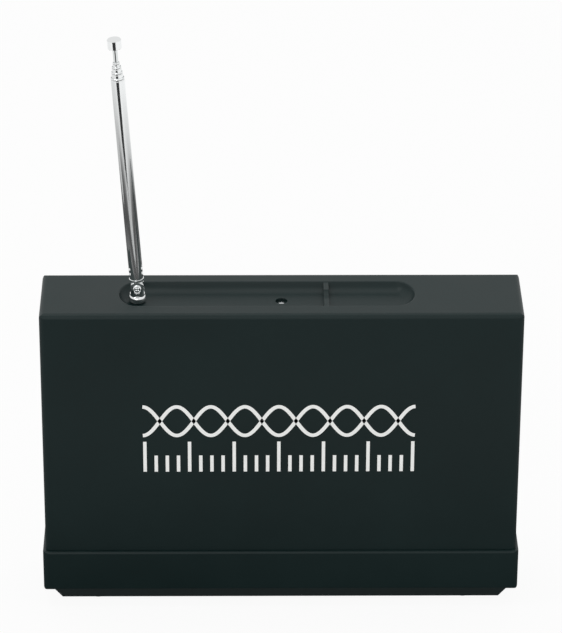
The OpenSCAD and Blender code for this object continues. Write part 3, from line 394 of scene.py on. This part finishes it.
def build_antenna():
    """Turned tubes with rolled lips and crimps, the tip and the collar."""
    look = bpy.context.scene.theremin_antenna
    middle, direction = antenna_axis()
    place = Matrix.Translation(middle) @ Matrix.Rotation(
        math.atan2(direction.x, direction.z), 4, "Y")
    chrome = FINISHES["antenna_chrome"]
    names = ["outer_tube", "second_tube", "third_tube", "fourth_tube", "antenna_rod"]
    bodies = ["antenna", "second_section", "third_section", "fourth_section"]
    outer_wall = 2.6    # points nearer the axis belong to the outer tube's bore
    play = 0.08         # between each tube and the one inside it

    def dent(angle, radius, height):
        """Two crimps, one above the other, at each side of the outer tube."""
        if radius < outer_wall:
            return 0.0
        depth = 0.0
        for side in CRIMP_SIDES:
            turn = (angle - side + math.pi) % (2 * math.pi) - math.pi
            for level in CRIMP_LEVELS:
                away = (turn * radius) ** 2 + (height - level) ** 2
                depth += look.dent_mm * math.exp(-away / CRIMP_SPREAD)
        return depth

    for i, body in enumerate(bodies):
        low, high, radius = along(names[i])
        bore = along(names[i + 1])[2] + play
        rows = CRIMP_ROWS if i == 0 else ()
        mesh = lathe(names[i] + "_drawn", tube_profile(low, high, radius, bore, look.lip_mm, rows),
                     place, 128, dent if i == 0 else None)
        new_object(names[i] + "_drawn", mesh, chrome, body, [names[i]])
    low, high, radius = along("antenna_tip")
    under, rim = 0.15, 0.3
    mesh = lathe("tip_turned", [(0.0, low), (radius - under, low), (radius, low + under),
                                (radius, high - rim), (radius - rim, high), (0.0, high)], place)
    new_object("tip_turned", mesh, chrome, "rod_section", ["antenna_tip"])
    low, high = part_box("antenna_collar")
    radius, foot, top = (high.x - low.x) / 2 / MM, low.z / MM, high.z / MM
    stand = Matrix.Translation((middle.x, middle.y, 0.0))
    bore, neck, bulge = 1.65, 2.5, 0.9
    shoulder = top - 3.3
    mesh = lathe("collar_barrel", [(bore, foot), (neck, foot), (neck, shoulder)]
                 + bead(radius, shoulder, top, bulge, 14) + [(bore, top)], stand)
    new_object("collar_barrel", mesh, chrome, "case", ["antenna_collar"])


def build_fold_screw():
    """The fold screw with a dished head, whose four lands leave a cross between them."""
    middle = antenna_axis()[0]
    front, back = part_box("fold_screw")
    head, tail = 0.9, 0.6
    grip = (back.y - front.y) / MM - head - tail
    place = Matrix.Translation((middle.x, front.y / MM + head, middle.z)) @ Matrix.Rotation(
        math.pi / 2, 4, "X")
    shank, tail_r, head_r = 0.98, 1.7, 1.9
    sides = [(0.0, -grip - tail), (tail_r, -grip - tail), (tail_r, -grip), (shank, -grip),
             (shank, 0.0), (head_r, 0.0)]
    dish = [(head_r, 0.45), (1.82, 0.72), (1.6, 0.92), (1.42, 0.92), (1.25, 0.75), (1.12, 0.42),
            (0.0, 0.42)]
    mesh = lathe("fold_screw_turned", sides + dish, place)
    shape = bmesh.new()
    shape.from_mesh(mesh)
    off, width, depth = 0.44, 0.52, 0.5     # each land's place and size in the dish
    for x in (-off, off):
        for z in (-off, off):
            spot = (place @ Matrix.Translation((x, z, 0.5))).translation
            land = Matrix.Diagonal((width * MM, depth * MM, width * MM, 1.0))
            bmesh.ops.create_cube(shape, size=1.0, matrix=Matrix.Translation(spot * MM) @ land)
    shape.to_mesh(mesh)
    shape.free()
    new_object("fold_screw_turned", mesh, FINISHES["antenna_chrome"], "swivel",
               ["fold_screw"])


def ribbon(points, width):
    """A flat band of even width along points (x, z) in millimetres, as (verts, faces)."""
    left, right = [], []
    for i, spot in enumerate(points):
        ahead = points[min(i + 1, len(points) - 1)]
        behind = points[max(i - 1, 0)]
        run = (Vector(ahead) - Vector(behind)).normalized()
        side = Vector((-run.y, run.x)) * width / 2
        left.append(Vector(spot) + side)
        right.append(Vector(spot) - side)
    n = len(points)
    return left + right, [(i, i + 1, n + i + 1, n + i) for i in range(n - 1)]


def bar(x, z, width, height):
    """An upright bar that stands on z, centred on x."""
    return ribbon([(x, z), (x, z + height)], width)


def printed(name, patches, y_mm, body="case"):
    """Ink on a face at y_mm, all patches as one thin mesh."""
    verts, faces = [], []
    for spots, corners in patches:
        start = len(verts)
        verts += [Vector((spot[0], y_mm, spot[1])) * MM for spot in spots]
        faces += [tuple(start + c for c in face) for face in corners]
    mesh = bpy.data.meshes.new(name)
    mesh.from_pydata(verts, [], faces)
    new_object(name, mesh, FINISHES["print_ink"], body)


def build_front_print():
    """Two plain crossing waves over a tick scale, in the place of the printed words."""
    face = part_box("housing")[0].y / MM - INK
    left, right = -60.8, 58.6       # the ends of the words' place
    wave_mid, wave_reach, wave_line = 95.05, 7.2, 1.7
    waves, steps = 4, 240
    patches = []
    for shift in (0.0, math.pi):
        wave = []
        for i in range(steps + 1):
            turn = 2 * math.pi * waves * i / steps
            height = wave_mid + wave_reach * math.cos(turn + shift)
            wave.append((left + (right - left) * i / steps, height))
        patches.append(ribbon(wave, wave_line))
    ticks, tick_foot, tick_line, tick_in = 25, 69.5, 1.5, 0.8
    for i in range(ticks):
        tall = 15.2 if i % 4 == 0 else 8.2
        spot = left + tick_in + (right - left - 2 * tick_in) * i / (ticks - 1)
        patches.append(bar(spot, tick_foot, tick_line, tall))
    printed("front_print", patches, face)


def letter_patches(text, size, x, z):
    """Plain characters that read from behind the case, as printed patches."""
    curve = bpy.data.curves.new("lettering", "FONT")
    curve.body = text
    curve.size = size
    curve.align_x = "CENTER"
    curve.align_y = "CENTER"
    holder = bpy.data.objects.new("lettering", curve)
    mesh = bpy.data.meshes.new_from_object(holder)
    spots = [(x - v.co.x, z + v.co.y) for v in mesh.vertices]
    faces = [tuple(face.vertices) for face in mesh.polygons]
    bpy.data.objects.remove(holder)
    bpy.data.curves.remove(curve)
    return spots, faces


def middle_of(node):
    """(x, z) of a node's middle, in millimetres."""
    low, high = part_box(node)
    return (low.x + high.x) / 2 / MM, (low.z + high.z) / 2 / MM


def build_panel_print():
    """Scales, plain numbers and switch marks on the control panel, and the knobs' pointers."""
    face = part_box("control_panel")[1].y / MM + INK
    patches = []
    # Each knob's radius, the size of its numbers, and how many marks apart the numbers stand
    knobs = {"pitch_dial": (20.0, 3.4, 1), "volume_knob": (10.0, 2.3, 5),
             "tone_knob": (10.0, 2.3, 5), "range_knob": (10.0, 2.3, 5)}
    mark_from, mark_to, mark_line = 1.0, 2.4, 0.45
    for node, (radius, size, step) in knobs.items():
        centre = Vector(middle_of(node))
        for i in range(11):
            turn = math.radians(-150 + 30 * i)
            out = Vector((-math.sin(turn), math.cos(turn)))
            mark = [centre + out * (radius + mark_from), centre + out * (radius + mark_to)]
            patches.append(ribbon(mark, mark_line))
            if i % step == 0:
                spot = centre + out * (radius + mark_to + size * 0.75)
                patches.append(letter_patches(str(i), size, spot.x, spot.y))
    x, z = middle_of("switch_lever")
    for word, up in (("ON", 9.5), ("OFF", -6.0)):
        patches.append(letter_patches(word, 2.6, x, z + up))
    ring, ring_line = 6.6, 0.4
    for node in ("headphone_jack", "line_jack"):
        x, z = middle_of(node)
        circle = [(x + ring * math.cos(math.radians(a)), z + ring * math.sin(math.radians(a)))
                  for a in range(0, 361, 10)]
        patches.append(ribbon(circle, ring_line))
    printed("panel_print", patches, face)
    rounding, pointer_line, sunk = 1.4, 0.8, 0.35
    for node, values in knobs.items():
        x, z = middle_of(node)
        grip = values[0] - rounding
        printed(node + "_pointer", [bar(x, z + grip * 0.38, pointer_line, grip * 0.6)],
                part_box(node)[1].y / MM - sunk, node)


# ---- stage ----

def add_area(name, place, target, size, watts):
    """A softbox at a place, aimed at a target, with all lengths in metres."""
    lamp = bpy.data.lights.new(name, "AREA")
    lamp.shape = "RECTANGLE"
    lamp.size, lamp.size_y = size
    lamp.energy = watts
    box = bpy.data.objects.new(name, lamp)
    box.location = place
    box.rotation_euler = (Vector(target) - Vector(place)).to_track_quat("-Z", "Y").to_euler()
    bpy.context.scene.collection.objects.link(box)


def add_sheet(name, corners, material):
    """A flat four-cornered piece of the stage."""
    mesh = bpy.data.meshes.new(name)
    mesh.from_pydata([Vector(c) for c in corners], [], [(0, 1, 2, 3)])
    mesh.materials.append(material)
    sheet = bpy.data.objects.new(name, mesh)
    bpy.context.scene.collection.objects.link(sheet)
    return sheet


def stage_white():
    """Studio paper: matt and white. The camera sees most of its own white and a little of the
    shadow on it; mirrors see a painted glow by distance: painted shade near the object, painted bands further out."""
    material, tree, shader, place = new_material("Paper, matt, white, painted shade and bands in mirrors")
    shader.inputs["Base Color"].default_value = linear("#D8D8D8")
    shader.inputs["Roughness"].default_value = 0.9
    shader.inputs["Specular IOR Level"].default_value = 0.0
    path = add_node(tree, "ShaderNodeLightPath")
    low, high = CAD_BOX
    size = add_node(tree, "ShaderNodeVectorMath", {0: place}, operation="ABSOLUTE")
    past = add_node(tree, "ShaderNodeVectorMath", {0: size.outputs[0], 1: (high.x, high.y, 0.0)},
                    operation="SUBTRACT")
    outside = add_node(tree, "ShaderNodeVectorMath", {0: past.outputs[0], 1: (0.0, 0.0, 0.0)},
                       operation="MAXIMUM")
    reach = add_node(tree, "ShaderNodeVectorMath", {0: outside.outputs[0]}, operation="LENGTH")
    # Painted shade and light: the floor's brightness in mirrors, darker near the object as a painted shadow, with
    # painted light and dark bands
    painted_floor_glow = add_node(tree, "ShaderNodeValToRGB", {"Fac": reach.outputs["Value"]})
    stops = painted_floor_glow.color_ramp.elements
    while len(stops) < len(PAINTED_FLOOR_LIGHT):
        stops.new(0.5)
    for stop, (distance, level) in zip(stops, PAINTED_FLOOR_LIGHT):
        stop.position = distance
        stop.color = (level, level, level, 1.0)
    own_white = 0.93
    seen = add_node(tree, "ShaderNodeMath", {0: path.outputs["Is Camera Ray"], 1: own_white},
                    operation="MULTIPLY")
    clear = add_node(tree, "ShaderNodeMath",
                     {0: path.outputs["Is Glossy Ray"], 1: path.outputs["Is Transmission Ray"]},
                     operation="MAXIMUM")
    share = add_node(tree, "ShaderNodeMath", {0: seen.outputs[0], 1: clear.outputs[0]},
                     operation="MAXIMUM")
    strength = add_node(tree, "ShaderNodeMix",
                        {"Factor": path.outputs["Is Glossy Ray"], 2: 1.0, 3: painted_floor_glow.outputs[0]},
                        data_type="FLOAT")
    glow = add_node(tree, "ShaderNodeEmission", {"Strength": strength.outputs[0]})
    both = add_node(tree, "ShaderNodeMixShader",
                    {0: share.outputs[0], 1: shader.outputs[0], 2: glow.outputs[0]})
    tree.links.new(both.outputs[0], tree.nodes["Material Output"].inputs["Surface"])
    return material


def stage_card(name, hex_text):
    """A matt material for a sheet that only mirrors see, laid out to paint a dark or light reflection line down
    polished metal.
    """
    material, _, shader, _ = new_material(name)
    shader.inputs["Base Color"].default_value = linear(hex_text)
    shader.inputs["Roughness"].default_value = 1.0
    return material


def set_world():
    """An even pale world, white to the camera and through glass, and nearly white otherwise."""
    world = bpy.data.worlds.new("Studio")
    bpy.context.scene.world = world
    world.use_nodes = True
    tree = world.node_tree
    tree.nodes.clear()
    path = add_node(tree, "ShaderNodeLightPath")
    seen = add_node(tree, "ShaderNodeMath",
                    {0: path.outputs["Is Camera Ray"], 1: path.outputs["Is Transmission Ray"]},
                    operation="MAXIMUM")
    strength = add_node(tree, "ShaderNodeMix", {"Factor": seen.outputs[0], 2: SKY_LIGHT, 3: 1.0},
                        data_type="FLOAT")
    sky = add_node(tree, "ShaderNodeBackground",
                   {"Color": (1.0, 1.0, 1.0, 1.0), "Strength": strength.outputs[0]})
    add_node(tree, "ShaderNodeOutputWorld", {"Surface": sky.outputs[0]})


def build_stage():
    """Floor, sheets that paint reflections for mirrors alone, lights, world and camera."""
    scene = bpy.context.scene
    look = scene.theremin_stage
    far = 4.0
    add_sheet("stage_floor", [(-far, -far, 0), (far, -far, 0), (far, far, 0), (-far, far, 0)],
              stage_white())
    black = stage_card("Sheet, matt, black, painted dark reflection", "#141617")
    pale = stage_card("Sheet, matt, pale, painted light reflection", "#B8B8B8")
    for name, corners, material in (("painted_dark_reflection_sheet", DARK_REFLECTION_CORNERS, black),
                                    ("stage_card", FRONT_PALE_REFLECTION_CORNERS, pale),
                                    ("painted_side_reflection_sheet", SIDE_PALE_REFLECTION_CORNERS, pale)):
        sheet = add_sheet(name, [(x, y, SHEET_HEIGHT) for x, y in corners], material)
        # Mirrors alone see these sheets: painted dark and pale reflections that cast no shadow and light nothing
        sheet.visible_camera = sheet.visible_diffuse = sheet.visible_shadow = False
    set_world()
    add_area("overhead_softbox", (0.0, 0.25, 1.5), (0, 0, 0.1), (1.4, 1.0), look.key_watts)
    add_area("hard_lamp", (-0.5, -0.1, 1.35), (0, 0, 0.15), (0.16, 0.16), look.lamp_watts)
    add_area("front_fill", (-0.5, -1.6, 0.9), (0, 0, 0.1), (0.8, 0.8), look.fill_watts)
    camera = bpy.data.objects.new("camera", bpy.data.cameras.new("camera"))
    camera.data.lens = look.lens_mm
    camera.data.sensor_width = 36.0
    camera.data.clip_end = 50.0
    scene.collection.objects.link(camera)
    low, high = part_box("housing")
    flat = math.cos(look.elevation)
    view = Vector((math.sin(look.turn) * flat, math.cos(look.turn) * flat,
                   -math.sin(look.elevation)))
    # The aim is the middle of the case's upper front edge, moved to where the photograph has it
    aim = Vector((0.0, low.y, high.z)) + Vector((-0.39, 0.0, -0.6)) * MM
    aim_distance = 1.5933
    camera.location = aim - view * aim_distance
    turned = view.to_track_quat("-Z", "Y") @ Quaternion((0.0, 0.0, 1.0), look.roll)
    camera.rotation_euler = turned.to_euler()
    scene.camera = camera
    scene.view_settings.view_transform = "Standard"


# ---- operators ----

class THEREMIN_OT_finishes(bpy.types.Operator):
    """Make the finishes and give each CAD node its own"""
    bl_idname = "theremin.finishes"
    bl_label = "Finishes"

    def execute(self, context):
        make_finishes()
        dress_frame()
        return {"FINISHED"}


class THEREMIN_OT_antenna(bpy.types.Operator):
    """Turn the antenna's tubes, tip, fold screw and collar"""
    bl_idname = "theremin.antenna"
    bl_label = "Antenna"

    def execute(self, context):
        build_antenna()
        build_fold_screw()
        return {"FINISHED"}


class THEREMIN_OT_print(bpy.types.Operator):
    """Print the audience face and the control panel"""
    bl_idname = "theremin.print"
    bl_label = "Print"

    def execute(self, context):
        build_front_print()
        build_panel_print()
        return {"FINISHED"}


class THEREMIN_OT_stage(bpy.types.Operator):
    """Build the floor, the lights and the camera"""
    bl_idname = "theremin.stage"
    bl_label = "Stage"

    def execute(self, context):
        build_stage()
        return {"FINISHED"}


OPERATORS = (THEREMIN_OT_finishes, THEREMIN_OT_antenna, THEREMIN_OT_print, THEREMIN_OT_stage)


class THEREMIN_PT_panel(bpy.types.Panel):
    """Lists the theremin's steps and settings"""
    bl_idname = "THEREMIN_PT_panel"
    bl_label = "Theremin"
    bl_space_type = "VIEW_3D"
    bl_region_type = "UI"
    bl_category = "Theremin"

    def draw(self, context):
        layout = self.layout
        for settings in (context.scene.theremin_case, context.scene.theremin_antenna,
                         context.scene.theremin_stage):
            for key in settings.__annotations__:
                layout.prop(settings, key)
        for operator in OPERATORS:
            layout.operator(operator.bl_idname)


CLASSES = (CaseLook, AntennaLook, StageLook, *OPERATORS, THEREMIN_PT_panel)


def register():
    for cls in CLASSES:
        bpy.utils.register_class(cls)
    bpy.types.Scene.theremin_case = bpy.props.PointerProperty(type=CaseLook)
    bpy.types.Scene.theremin_antenna = bpy.props.PointerProperty(type=AntennaLook)
    bpy.types.Scene.theremin_stage = bpy.props.PointerProperty(type=StageLook)


def unregister():
    del bpy.types.Scene.theremin_stage
    del bpy.types.Scene.theremin_antenna
    del bpy.types.Scene.theremin_case
    for cls in reversed(CLASSES):
        bpy.utils.unregister_class(cls)


def main():
    register()
    for operator in OPERATORS:
        group, name = operator.bl_idname.split(".")
        getattr(getattr(bpy.ops, group), name)()


if __name__ == "__main__":
    main()
